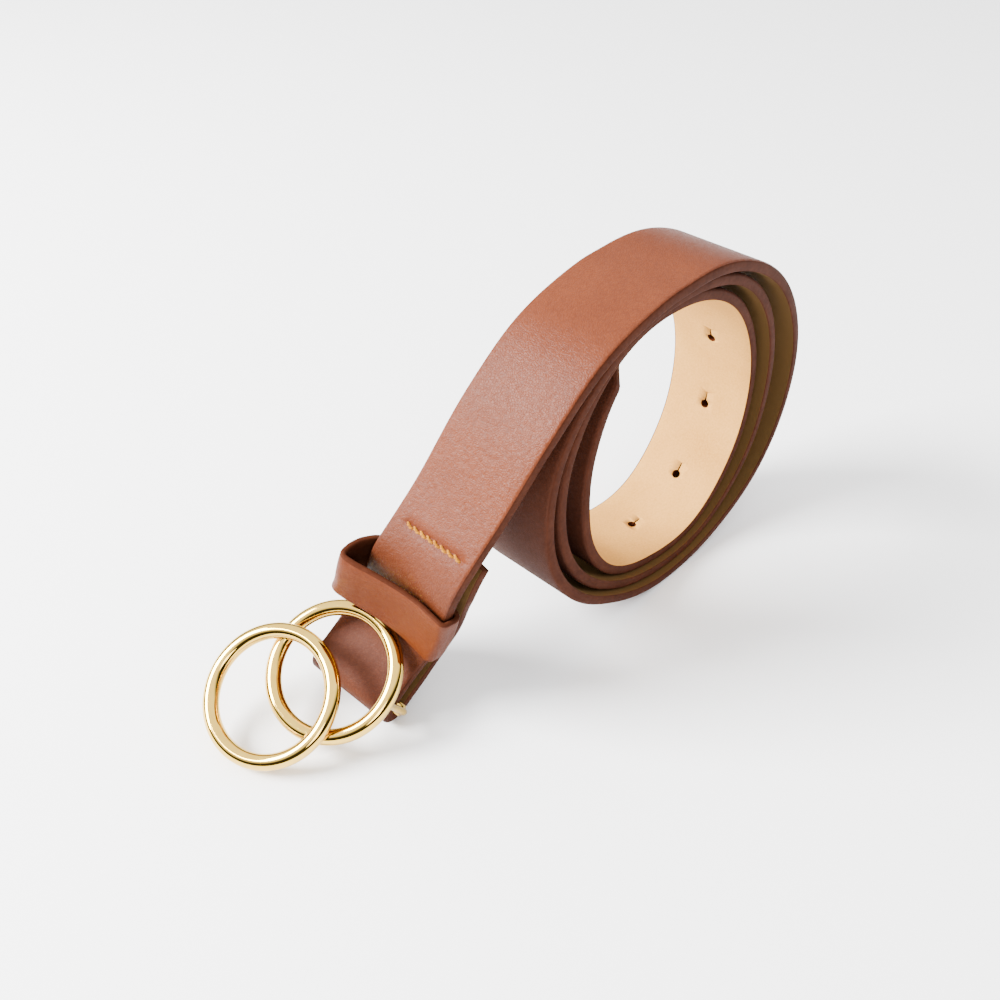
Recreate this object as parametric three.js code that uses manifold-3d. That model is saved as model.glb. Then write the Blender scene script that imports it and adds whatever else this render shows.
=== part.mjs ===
// Double ring belt, coiled up and standing on its edge.
// Units are millimetres, +Z is up, the coil's axis runs along Y.
import * as THREE from 'three';
import ManifoldModule from 'manifold-3d';

// ---- Strap ------------------------------------------------------------
const strapWidth = 30;          // across the leather
const leatherThick = 2.3;       // grain leather
const liningThick = 0.8;        // tan lining bonded inside
const bondGap = 0.3;            // what the two keep between them here
const liningMargin = 0.5;       // painted edge left beside the lining
const edgeRound = 0.7;          // bevel along both grain edges
const stripThick = leatherThick + bondGap + liningThick;

// ---- Coil -------------------------------------------------------------
const coilRadius = 61.6;        // grain side at the top of the first lap
const coilAxisHeight = 54.3;    // coil axis above the ground
const lapDrift = 2;             // each lap sits this far behind the last
const tipAngle = 337.5;          // where the free end stops on the third lap
const coilStep = 7.5;           // degrees between sections

// Grain-side radius as a share of coilRadius, by the clock: 0 is the top and
// 90 the side away from the buckle. Each lap is one pass round the coil.
const lapTable = [
  { at: 0, first: 1.000, second: 0.937, third: 0.873 },
  { at: 30, first: 1.005, second: 0.924, third: 0.829 },
  { at: 60, first: 1.047, second: 0.909, third: 0.791 },
  { at: 90, first: 1.101, second: 0.909, third: 0.794 },
  { at: 120, first: 1.097, second: 0.934, third: 0.830 },
  { at: 150, first: 0.972, second: 0.906, third: 0.842 },
  { at: 180, first: 0.868, second: 0.801, third: 0.738 },
  { at: 210, first: 0.811, second: 0.748, third: 0.679 },
  { at: 240, first: 0.849, second: 0.757, third: 0.625 },
  { at: 270, first: 0.929, second: 0.812, third: 0.610 },
  { at: 300, first: 1.000, second: 0.886, third: 0.668 },
  { at: 330, first: 0.990, second: 0.928, third: 0.762 },
];

// ---- Tail, from the top of the coil down to the buckle ------------------
const tailReach = 99.8;         // coil axis to the start of the fold, along X
const tailSwing = 22;           // how far the fold lies to the back, along Y
const tailRise = 115.6;         // height that the up column is a share of
const foldTwist = 9.5;          // degrees that the strap is turned at the fold
const tailTable = [
  { out: 0.054, side: 0.000, up: 1.001, twist: 0.00 },
  { out: 0.164, side: 0.000, up: 0.995, twist: 0.00 },
  { out: 0.395, side: 0.009, up: 0.936, twist: 0.00 },
  { out: 0.573, side: 0.082, up: 0.801, twist: 0.10 },
  { out: 0.717, side: 0.259, up: 0.617, twist: -0.10 },
  { out: 0.848, side: 0.464, up: 0.441, twist: 0.00 },
  { out: 0.857, side: 0.736, up: 0.283, twist: 0.32 },
  { out: 0.894, side: 0.977, up: 0.173, twist: 0.79 },
  { out: 1.000, side: 1.000, up: 0.104, twist: 1.00 },
];

// ---- Fold and flap at the buckle ----------------------------------------
const barRadius = 1.8;          // bar that the strap is folded round
const barPlay = 0.3;            // bar to lining, all round
const flapLength = 61.5;          // folded-under end, from the bar
const flapEndGap = 2;           // lining to lining where the flap is stitched
const foldSteps = 8;
const tailSteps = 4;            // sections per row of the tail's table

// ---- Punched holes ------------------------------------------------------
const holeCount = 5;
const holePitch = 29.3;
const holeDiameter = 2.4;
const slitLength = 3.6;         // cut that lets a stud pass
const slitWidth = 0.45;
const firstHoleToTip = 124.6;   // free end to the nearest hole

// ---- Free end -----------------------------------------------------------
const tipTaper = 12;            // length of the cut corners
const tipEndShare = 0.5;        // blunt end as a share of the width

// ---- Keeper -------------------------------------------------------------
const keeperWidth = 19;
const keeperThick = 1.6;
const keeperSteps = 5;
const keeperFrom = 24;        // lower edge, measured up the strap from the bar
const keeperPlay = 0.5;         // keeper to strap where it lies close
const keeperRise = 7.5;         // how far it stands off the grain at the back edge
const keeperBulge = 2.6;        // how far it stands out past the back edge

// ---- Rings --------------------------------------------------------------
const ringOuter = 41.7;         // outside diameter of both rings
const ringWire = 4.7;           // round wire that they are made of
const ringStandoff = 12;        // bar to the rear ring's plane
const ringSide = 3;             // rear ring's centre to the back of the strap's middle
const ringDrop = 2;             // rear ring's centre below the bar
const ringLap = 0.6;            // how deep the two wires sink into each other
const ringOffset = 15.6;        // front ring ahead of the rear ring
const ringShift = 9.2;          // front ring to the back of the rear ring
const armRadius = 1.1;
const armGap = 0.5;             // arm to the strap's edge
const maxSwing = 25;            // degrees either way that the rings may hang from square
const ringSegments = 40;
const wireSides = 12;

const wasm = await ManifoldModule();
wasm.setup();
const { Manifold, Mesh } = wasm;

const up = new THREE.Vector3(0, 0, 1);
const back = new THREE.Vector3(0, 1, 0);
const vec = (x, y, z) => new THREE.Vector3(x, y, z);
const along = (p, d, k) => p.clone().addScaledVector(d, k);
const smooth = (t) => { const k = Math.min(1, Math.max(0, t)); return k * k * (3 - 2 * k); };

// Radius of the grain side after `turn` degrees of coil, through all laps.
const lapRows = ['first', 'second', 'third'].flatMap((lap) => lapTable.map((row) => row[lap]));
function coilRadiusAt(turn) {
  const k = turn / (360 / lapTable.length);
  const i = Math.min(Math.floor(k), lapRows.length - 2);
  const t = k - i;
  const row = (j) => lapRows[Math.min(Math.max(j, 0), lapRows.length - 1)];
  const [a, b, c, d] = [row(i - 1), row(i), row(i + 1), row(i + 2)];
  const share = b + 0.5 * t * (c - a + t * (2 * a - 5 * b + 4 * c - d + t * (3 * (b - c) + d - a)));
  return share * coilRadius;
}

// The strap's line on the grain side, from the fold to the free end. The lowest
// lap lies flat on the ground.
const totalTurn = 720 + tipAngle;
const knots = tailTable.map((row) => ({
  p: vec(-row.out * tailReach, strapWidth / 2 + row.side * tailSwing, row.up * tailRise),
  twist: row.twist * foldTwist,
})).reverse();
for (let turn = 0; turn <= totalTurn + 1e-6; turn += coilStep) {
  const a = THREE.MathUtils.degToRad(turn);
  const r = coilRadiusAt(turn);
  const z = coilAxisHeight + r * Math.cos(a);
  knots.push({ p: vec(r * Math.sin(a), strapWidth / 2 + lapDrift * turn / 360, Math.max(z, 0)), twist: 0 });
}

// Frame at each knot: t along the strap, b across it, n out of the grain.
function tangentAt(i) {
  const a = knots[Math.max(i - 1, 0)].p;
  const b = knots[Math.min(i + 1, knots.length - 1)].p;
  return b.clone().sub(a).normalize();
}
const curve = new THREE.CatmullRomCurve3(knots.map((k) => k.p), false, 'centripetal');
const tailKnots = tailTable.length;
function frameAt(p, t, twist) {
  const b = along(back, t, -back.dot(t)).normalize().applyAxisAngle(t, THREE.MathUtils.degToRad(twist));
  return { p, t, b, n: t.clone().cross(b) };
}

// Sections: several per span in the tail, the knots themselves round the coil.
const tailFrames = [];
for (let i = 0; i < tailKnots; i += 1) {
  for (let j = 0; j < tailSteps; j += 1) {
    const u = (i + j / tailSteps) / (knots.length - 1);
    const twist = THREE.MathUtils.lerp(knots[i].twist, knots[i + 1].twist, smooth(j / tailSteps));
    tailFrames.push(frameAt(curve.getPoint(u), curve.getTangent(u), twist));
  }
}
const coilFrames = knots.slice(tailKnots).map((k, i) => frameAt(k.p, tangentAt(i + tailKnots), 0));
const strapFrames = [...tailFrames, ...coilFrames];
let run = 0;
strapFrames.forEach((f, i) => {
  if (i > 0) run += f.p.distanceTo(strapFrames[i - 1].p);
  f.s = run;
});
const strapRun = run;

// A frame at any distance along the strap.
function strapAt(s) {
  let i = strapFrames.findIndex((f) => f.s > s);
  if (i < 1) i = i === 0 ? 1 : strapFrames.length - 1;
  const [a, b] = [strapFrames[i - 1], strapFrames[i]];
  const k = (s - a.s) / (b.s - a.s);
  const t = a.t.clone().lerp(b.t, k).normalize();
  const across = a.b.clone().lerp(b.b, k);
  across.addScaledVector(t, -across.dot(t)).normalize();
  return { p: a.p.clone().lerp(b.p, k), t, b: across, n: t.clone().cross(across), s };
}

// The fold: half a circle round the bar, then the flap back up under the strap.
const foldRadius = barRadius + barPlay + stripThick;
const fold = strapFrames[0];
const barCentre = along(fold.p, fold.n, -foldRadius);
const foldFrames = [];
for (let i = 1; i < foldSteps; i += 1) {
  const a = Math.PI * i / foldSteps;
  const n = fold.n.clone().multiplyScalar(Math.cos(a)).addScaledVector(fold.t, -Math.sin(a));
  const t = fold.t.clone().multiplyScalar(Math.cos(a)).addScaledVector(fold.n, Math.sin(a));
  foldFrames.push({ p: along(barCentre, n, foldRadius), t, b: fold.b, n });
}
foldFrames.reverse();
const keeperTo = keeperFrom + keeperWidth;
const flapSteps = 12;
const flapFrames = [];
for (let i = flapSteps; i >= 0; i -= 1) {
  const s = flapLength * i / flapSteps;
  const f = strapAt(s);
  const gap = THREE.MathUtils.lerp(2 * (barRadius + barPlay), flapEndGap, smooth((s - keeperTo) / (flapLength - keeperTo)));
  flapFrames.push({ p: along(f.p, f.n, -(2 * stripThick + gap)), t: f.t.clone().negate(), b: f.b, n: f.n.clone().negate() });
}
const allFrames = [...flapFrames, ...foldFrames, ...strapFrames];

// Width of the strap at a section: full, but for the cut corners of the free end.
const widthAt = (f) => {
  const left = f.s === undefined ? tipTaper : strapRun - f.s;
  return strapWidth * THREE.MathUtils.lerp(tipEndShare, 1, Math.min(1, left / tipTaper));
};

// ---- Solids -------------------------------------------------------------
// A closed solid through a row of sections that all have the same corners.
// Each strip named in `flips` is split along its other diagonal, so that the
// faces of two layers that lie together bend the same way.
function loft(rows, closed = false, flips = []) {
  const n = rows[0].length;
  const points = rows.flat();
  const faces = [];
  const last = closed ? rows.length : rows.length - 1;
  for (let i = 0; i < last; i += 1) {
    const j = (i + 1) % rows.length;
    for (let k = 0; k < n; k += 1) {
      const m = (k + 1) % n;
      if (flips.includes(k)) faces.push([i * n + k, i * n + m, j * n + k], [i * n + m, j * n + m, j * n + k]);
      else faces.push([i * n + k, j * n + m, j * n + k], [i * n + k, i * n + m, j * n + m]);
    }
  }
  if (!closed) {
    for (let k = 1; k < n - 1; k += 1) {
      faces.push([0, k + 1, k]);
      faces.push([last * n, last * n + k, last * n + k + 1]);
    }
  }
  return solid(points, faces);
}

function solid(points, faces) {
  let volume = 0;
  for (const [a, b, c] of faces) volume += points[a].dot(points[b].clone().cross(points[c]));
  const tri = volume < 0 ? faces.map(([a, b, c]) => [a, c, b]) : faces;
  return new Manifold(new Mesh({
    numProp: 3,
    vertProperties: new Float32Array(points.flatMap((p) => [p.x, p.y, p.z])),
    triVerts: new Uint32Array(tri.flat()),
  }));
}

// Corners of the strap's section; `from` and `to` are depths below the grain.
function stripSection(f, width, from, to, bevel) {
  const h = width / 2;
  const corner = (b, d) => along(along(f.p, f.b, b), f.n, -d);
  if (!bevel) return [corner(-h, from), corner(h, from), corner(h, to), corner(-h, to)];
  return [
    corner(-h + bevel, from), corner(h - bevel, from), corner(h, from + bevel), corner(h, to),
    corner(-h, to), corner(-h, from + bevel),
  ];
}

// Straight rod from a to b.
function rod(a, b, radius, sides = 12) {
  const d = b.clone().sub(a).normalize();
  const u = along(back, d, -back.dot(d));
  if (u.lengthSq() < 0.01) u.copy(up).addScaledVector(d, -up.dot(d));
  u.normalize();
  const w = d.clone().cross(u);
  const circle = (c) => Array.from({ length: sides }, (_, i) => {
    const q = 2 * Math.PI * i / sides;
    return along(along(c, u, radius * Math.cos(q)), w, radius * Math.sin(q));
  });
  return loft([circle(a), circle(b)]);
}

// Round wire bent into a ring.
function ring(centre, n, across) {
  const ahead = n.clone().cross(across).normalize();
  const radius = (ringOuter - ringWire) / 2;
  const rows = [];
  for (let i = 0; i < ringSegments; i += 1) {
    const a = 2 * Math.PI * i / ringSegments;
    const out = across.clone().multiplyScalar(Math.cos(a)).addScaledVector(ahead, Math.sin(a));
    const c = along(centre, out, radius);
    rows.push(Array.from({ length: wireSides }, (_, k) => {
      const q = 2 * Math.PI * (k + 0.5) / wireSides;
      return along(along(c, out, ringWire / 2 * Math.cos(q)), n, ringWire / 2 * Math.sin(q));
    }));
  }
  return loft(rows, true);
}

// Punched holes with their slits, as one cutter through leather and lining.
function holeCutter(s) {
  const f = strapAt(s);
  const top = along(f.p, f.n, 1);
  const bottom = along(f.p, f.n, -stripThick - 1);
  const punch = rod(top, bottom, holeDiameter / 2, 12);
  const box = (c) => [[0, -1], [slitLength, -1], [slitLength, 1], [0, 1]]
    .map(([a, b]) => along(along(c, f.t, -a), f.b, b * slitWidth / 2));
  return punch.add(loft([box(top), box(bottom)]));
}
const cutters = Array.from({ length: holeCount }, (_, i) => holeCutter(strapRun - firstHoleToTip - i * holePitch));

let leather = loft(allFrames.map((f) => stripSection(f, widthAt(f), 0, leatherThick, edgeRound)), false, [3]);
let lining = loft(allFrames.map((f) => stripSection(
  f, widthAt(f) - 2 * liningMargin, leatherThick + bondGap, stripThick, 0)), false, [2]);
for (const cutter of cutters) {
  leather = leather.subtract(cutter);
  lining = lining.subtract(cutter);
}

// Keeper: a band round the strap's top layer. It lies close at the front edge,
// passes between strap and flap, and stands off at the back.
const keeperUnder = stripThick + keeperPlay;
const keeperLoop = [
  { b: -0.50, out: -keeperPlay, h: -0.35 },
  { b: -0.50, out: 0, h: 0 },
  { b: -0.45, out: 0, h: 0.03 },
  { b: -0.20, out: 0, h: 0.10 },
  { b: 0.05, out: 0, h: 0.34 },
  { b: 0.30, out: 0, h: 0.70 },
  { b: 0.44, out: keeperBulge * 0.25, h: 0.95 },
  { b: 0.50, out: keeperBulge * 0.62, h: 1.00 },
  { b: 0.50, out: keeperBulge * 0.95, h: 0.72 },
  { b: 0.50, out: keeperBulge, h: 0.22 },
  { b: 0.50, out: keeperBulge * 0.72, h: -0.28 },
  { b: 0.50, out: keeperBulge * 0.3, h: -0.80 },
  { b: 0.47, out: 0, h: -1 },
  { b: 0.00, out: 0, h: -1 },
  { b: -0.47, out: 0, h: -1 },
  { b: -0.50, out: -keeperPlay, h: -0.85 },
];
function keeperRow(s) {
  const f = strapAt(s);
  const inner = keeperLoop.map(({ b, out, h }) => {
    const y = b * strapWidth + out;
    const z = h >= 0 ? keeperPlay + h * keeperRise : h * (keeperUnder + keeperPlay) + keeperPlay;
    return [y, z];
  });
  const n = inner.length;
  const outer = inner.map(([y, z], i) => {
    const [a, b] = [inner[(i + n - 1) % n], inner[(i + 1) % n]];
    const [dy, dz] = [b[0] - a[0], b[1] - a[1]];
    const l = Math.hypot(dy, dz);
    return [y - dz / l * keeperThick, z + dy / l * keeperThick];
  });
  const place = ([y, z]) => along(along(f.p, f.b, y), f.n, z);
  return { inner: inner.map(place), outer: outer.map(place) };
}
const keeperRows = Array.from({ length: keeperSteps + 1 }, (_, i) => keeperRow(keeperFrom + keeperWidth * i / keeperSteps));
const keeper = loft(keeperLoop.map((_, i) => [
  ...keeperRows.map((row) => row.outer[i]),
  ...keeperRows.map((row) => row.inner[i]).reverse(),
]), true);

// Rings, arms and bar, soldered into one piece.
const ringRadius = (ringOuter - ringWire) / 2;
// They hang from the bar at the swing that sets the front ring on the ground.
function hang(swing) {
  const n = fold.n.clone().applyAxisAngle(fold.b, swing);
  const t = fold.t.clone().applyAxisAngle(fold.b, swing);
  const rear = along(along(along(barCentre, n, ringStandoff), fold.b, ringSide), t, -ringDrop);
  const front = along(along(along(rear, t, -ringOffset), fold.b, ringShift), n, ringWire - ringLap);
  return { n, rear, front, low: front.z - ringRadius * Math.hypot(n.x, n.y) - ringWire / 2 };
}
let [low, high] = [-maxSwing, maxSwing].map(THREE.MathUtils.degToRad);
for (let i = 0; i < 40; i += 1) {
  const middle = (low + high) / 2;
  if (hang(middle).low > 0) high = middle; else low = middle;
}
const hung = hang(high);
let buckle = ring(hung.rear, hung.n, fold.b).add(ring(hung.front, hung.n, fold.b));
const barEnds = [-1, 1].map((side) => along(barCentre, fold.b, side * (strapWidth / 2 + armGap + armRadius)));
for (const end of barEnds) {
  const out = end.clone().sub(hung.rear);
  out.addScaledVector(hung.n, -out.dot(hung.n)).setLength(ringRadius);
  const rim = hung.rear.clone().add(out);
  const away = end.clone().sub(rim).setLength(armRadius);
  buckle = buckle.add(rod(end.clone().add(away), rim, armRadius));
}
buckle = buckle.add(rod(...barEnds, barRadius));

// ---- Group --------------------------------------------------------------
function mesh(name, body) {
  const data = body.getMesh();
  const geometry = new THREE.BufferGeometry();
  geometry.setAttribute('position', new THREE.BufferAttribute(new Float32Array(data.vertProperties), 3));
  geometry.setIndex(new THREE.BufferAttribute(new Uint32Array(data.triVerts), 1));
  const result = new THREE.Mesh(geometry);
  result.name = name;
  return result;
}

const group = new THREE.Group();
group.name = 'double_ring_belt';
group.add(mesh('strap', leather), mesh('strap_lining', lining), mesh('keeper_loop', keeper), mesh('double_ring_buckle', buckle));

// The middle of the ground under the whole belt is the origin.
const box = new THREE.Box3().setFromObject(group);
const middle = box.getCenter(vec(0, 0, 0));
for (const piece of group.children) piece.geometry.translate(-middle.x, -middle.y, -box.min.z);

export default group;
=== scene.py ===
"""Looks of a coiled double ring belt: leather strap, lining, keeper, stitches and polished rings.

Lengths in the size classes are millimetres; everything handed to Blender is in metres.
"""
from __future__ import annotations

import logging
import math
from dataclasses import dataclass
from enum import Enum

import bmesh
import bpy
import numpy as np
from mathutils import Matrix, Vector

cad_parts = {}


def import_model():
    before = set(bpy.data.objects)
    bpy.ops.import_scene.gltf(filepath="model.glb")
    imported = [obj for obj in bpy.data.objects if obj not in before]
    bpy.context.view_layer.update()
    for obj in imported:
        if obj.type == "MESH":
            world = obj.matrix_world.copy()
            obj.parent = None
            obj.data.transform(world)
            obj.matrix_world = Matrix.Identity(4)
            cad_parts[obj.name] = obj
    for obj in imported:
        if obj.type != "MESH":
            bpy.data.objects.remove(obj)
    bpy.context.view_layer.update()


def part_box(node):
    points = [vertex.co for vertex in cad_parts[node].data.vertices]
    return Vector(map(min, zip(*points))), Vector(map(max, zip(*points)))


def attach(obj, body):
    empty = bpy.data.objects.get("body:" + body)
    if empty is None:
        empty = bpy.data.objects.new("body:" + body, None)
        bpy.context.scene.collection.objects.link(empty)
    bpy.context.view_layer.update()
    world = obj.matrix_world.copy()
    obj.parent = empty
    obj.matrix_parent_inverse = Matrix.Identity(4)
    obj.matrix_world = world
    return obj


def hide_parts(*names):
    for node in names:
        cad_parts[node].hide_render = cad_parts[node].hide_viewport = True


LOG = logging.getLogger("belt")
MM = 0.001
Y_AXIS = np.array([0.0, 1.0, 0.0])
LAP = 360.0

Array = np.ndarray
Material = bpy.types.Material
Pair = tuple[float, float]
Triple = tuple[float, float, float]
Vectors = tuple[Array, Array, Array, Array]
Faces = list[tuple[int, ...]]
Socket = bpy.types.NodeSocket


class Body(Enum):
    """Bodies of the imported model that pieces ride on."""

    STRAP = "strap_body"
    BUCKLE = "buckle_body"


class Side(Enum):
    """Faces of the strap that take their own finish."""

    GRAIN = 0
    EDGE = 1
    LINING = 2
    HOLE = 3


def unit(rows: Array) -> Array:
    """Scale every row to length 1.

    Args:
        rows: Vectors, one a row.

    Returns:
        The scaled vectors.
    """
    return rows / np.linalg.norm(rows, axis=1)[:, None]


def run_along(points: Array) -> Array:
    """Distance of each point from the first, along the line.

    Args:
        points: Points, one a row.

    Returns:
        The distances.
    """
    return np.concatenate([[0], np.cumsum(np.linalg.norm(np.diff(points, axis=0), axis=1))])


def curve_span(p: Array, u: Array) -> Array:
    """Centripetal curve through the middle two of four points.

    Args:
        p: The four points.
        u: Places between the middle two, from 0 to 1.

    Returns:
        A point for each place.
    """
    d = [max(np.linalg.norm(p[i + 1] - p[i]) ** 0.5, 1e-4) for i in range(3)]
    m1 = ((p[1] - p[0]) / d[0] - (p[2] - p[0]) / (d[0] + d[1]) + (p[2] - p[1]) / d[1]) * d[1]
    m2 = ((p[2] - p[1]) / d[1] - (p[3] - p[1]) / (d[1] + d[2]) + (p[3] - p[2]) / d[2]) * d[1]
    u = u[:, None]
    return (p[1] + m1 * u + (-3 * p[1] + 3 * p[2] - 2 * m1 - m2) * u ** 2
            + (2 * p[1] - 2 * p[2] + m1 + m2) * u ** 3)


# Sizes

@dataclass(frozen=True)
class StrapSize:
    """Section and length of the strap."""

    width: float = 30.0
    leather: float = 2.3
    lining: float = 1.1
    grain_round: float = 0.95
    lining_round: float = 0.45
    edge_bulge: float = 0.05
    edge_middle: float = 0.55
    tip_taper: float = 12.0
    tip_share: float = 0.5

    @property
    def thick(self) -> float:
        """Leather and lining together."""
        return self.leather + self.lining


@dataclass(frozen=True)
class CoilSize:
    """The three laps of the coil."""

    radius: float = 61.6
    axis_height: float = 54.3
    drift: float = 2.0
    tip_angle: float = 337.5
    step: float = 7.5
    first: tuple[float, ...] = (
        1.000, 1.005, 1.047, 1.101, 1.097, 0.972, 0.868, 0.811, 0.849, 0.929, 1.000, 0.990)
    second: tuple[float, ...] = (
        0.937, 0.924, 0.909, 0.909, 0.934, 0.906, 0.801, 0.748, 0.757, 0.812, 0.886, 0.928)
    third: tuple[float, ...] = (
        0.873, 0.829, 0.791, 0.794, 0.830, 0.842, 0.738, 0.679, 0.625, 0.610, 0.668, 0.762)


@dataclass(frozen=True)
class TailSize:
    """The tail down to the buckle; its rows are shares of reach, swing, rise and fold_twist."""

    reach: float = 99.8
    swing: float = 22.0
    rise: float = 115.6
    fold_twist: float = 9.5
    rows: tuple[tuple[float, float, float, float], ...] = (
        (1.0, 1.0, 0.104, 1.0),
        (0.894, 0.977, 0.173, 0.79),
        (0.857, 0.736, 0.283, 0.32),
        (0.848, 0.464, 0.441, 0.0),
        (0.717, 0.259, 0.617, -0.1),
        (0.573, 0.082, 0.801, 0.1),
        (0.395, 0.009, 0.936, 0.0),
        (0.164, 0.0, 0.995, 0.0),
        (0.054, 0.0, 1.001, 0.0),
    )


@dataclass(frozen=True)
class FoldSize:
    """Fold round the bar and the flap under the strap."""

    bar_radius: float = 1.8
    bar_play: float = 0.3
    flap: float = 61.5
    flap_end_gap: float = 2.0


@dataclass(frozen=True)
class HoleSize:
    """Punched holes with their slits."""

    count: int = 5
    pitch: float = 29.3
    diameter: float = 2.9
    slit: float = 4.3
    slit_width: float = 0.6
    slit_start: float = 0.3
    slit_taper: float = 0.4
    from_tip: float = 124.6
    sides: int = 24
    cut_over: float = 1.0


@dataclass(frozen=True)
class KeeperSize:
    """Leather band; its points are shares across the strap, past its edge and off the grain."""

    width: float = 19.0
    thick: float = 1.6
    start: float = 24.0
    play: float = 0.5
    rise: float = 7.5
    bulge: float = 2.6
    corner: float = 0.5
    corner_cut: float = 0.15
    points: tuple[Triple, ...] = (
        (-0.50, -0.11, -0.35), (-0.50, 0.00, 0.00),
        (-0.45, 0.00, 0.03), (-0.20, 0.00, 0.10),
        (0.05, 0.00, 0.34), (0.30, 0.00, 0.70),
        (0.44, 0.25, 0.95), (0.50, 0.62, 1.00),
        (0.50, 0.95, 0.72), (0.50, 1.00, 0.22),
        (0.50, 0.72, -0.28), (0.50, 0.30, -0.80),
        (0.47, 0.00, -1.00), (0.00, 0.00, -1.00),
        (-0.47, 0.00, -1.00), (-0.50, -0.11, -0.85),
    )


@dataclass(frozen=True)
class RingSize:
    """Two round rings with their arms and bar."""

    outer: float = 41.7
    wire: float = 4.7
    standoff: float = 12.0
    side: float = 3.0
    drop: float = 2.0
    lap: float = 0.6
    offset: float = 15.6
    shift: float = 9.2
    arm_radius: float = 1.1
    arm_gap: float = 0.5
    flare: float = 0.35
    flare_reach: float = 1.4
    swing: float = 3.154


@dataclass(frozen=True)
class StitchSize:
    """Row of thick thread across the strap."""

    at: float = 60.7
    first: float = -0.367
    last: float = 0.31
    skew: float = -4.8
    count: int = 8
    thread: float = 0.95
    overlap: float = 0.03
    sunk: float = 0.55
    lift: float = 0.42
    lean: float = 0.9
    half_turns: float = 2.6
    strand_off: float = 0.22
    strand: float = 0.3


# Finishes

@dataclass(frozen=True)
class Finish:
    """What every material has."""

    name: str
    light: Triple
    dark: Triple
    roughness: float
    gloss: float


@dataclass(frozen=True)
class LeatherFinish(Finish):
    """Grain leather."""

    pore_mm: float
    bump: float


@dataclass(frozen=True)
class PlainFinish(Finish):
    """A material with only drift and a fine surface."""

    metallic: float = 0.0
    slow: float = 60.0
    fast: float = 900.0
    bump: float = 0.15
    bump_scale: float = 1500.0


@dataclass(frozen=True)
class Finishes:
    """All finishes of the belt."""

    grain: LeatherFinish = LeatherFinish(
        "strap_grain", (0.132, 0.031, 0.009), (0.082, 0.0165, 0.0042), 0.41,
        pore_mm=0.7, bump=0.36, gloss=0.13)
    keeper: LeatherFinish = LeatherFinish(
        "keeper_grain", (0.108, 0.0225, 0.0042), (0.07, 0.013, 0.0022), 0.44,
        pore_mm=0.6, bump=0.3, gloss=0.1)
    edge: PlainFinish = PlainFinish(
        "painted_edge", (0.062, 0.018, 0.0085), (0.034, 0.009, 0.0042), 0.5,
        gloss=0.02, slow=90.0, fast=700.0, bump=0.12, bump_scale=500.0)
    lining: PlainFinish = PlainFinish(
        "tan_lining", (0.58, 0.3, 0.076), (0.41, 0.195, 0.042), 0.75,
        gloss=0.04, slow=45.0, fast=1500.0, bump=0.25, bump_scale=2200.0)
    # painted shade: darker lining on the two outer laps, where the coil keeps the light out
    lining_shade: Triple = (0.085, 0.045, 0.015)
    hole: PlainFinish = PlainFinish(
        "hole_wall", (0.015, 0.007, 0.004), (0.008, 0.003, 0.0015), 0.8, gloss=0.02)
    gold: PlainFinish = PlainFinish(
        "polished_gold", (0.74, 0.49, 0.1), (0.64, 0.4, 0.07), 0.06,
        gloss=0.5, metallic=1.0, slow=40.0, fast=300.0, bump=0.0)
    thread: PlainFinish = PlainFinish(
        "golden_thread", (0.46, 0.195, 0.016), (0.2, 0.066, 0.006), 0.6,
        gloss=0.05, slow=300.0, fast=2500.0, bump=0.4, bump_scale=4000.0)


# Strap line

@dataclass
class Frames:
    """Frames along the strap: points, directions and distance from the fold."""

    p: Array
    t: Array
    b: Array
    n: Array
    s: Array

    def at(self, s: float) -> Vectors:
        """Frame at one distance.

        Args:
            s: Distance from the fold in millimetres.

        Returns:
            Point, along, across and outward vectors.
        """
        i = int(np.clip(np.searchsorted(self.s, s), 1, len(self.s) - 1))
        k = (s - self.s[i - 1]) / (self.s[i] - self.s[i - 1])
        mix = [a[i - 1] * (1 - k) + a[i] * k for a in (self.p, self.t, self.b)]
        t = mix[1] / np.linalg.norm(mix[1])
        b = mix[2] - mix[2] @ t * t
        b /= np.linalg.norm(b)
        return mix[0], t, b, np.cross(t, b)


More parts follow.
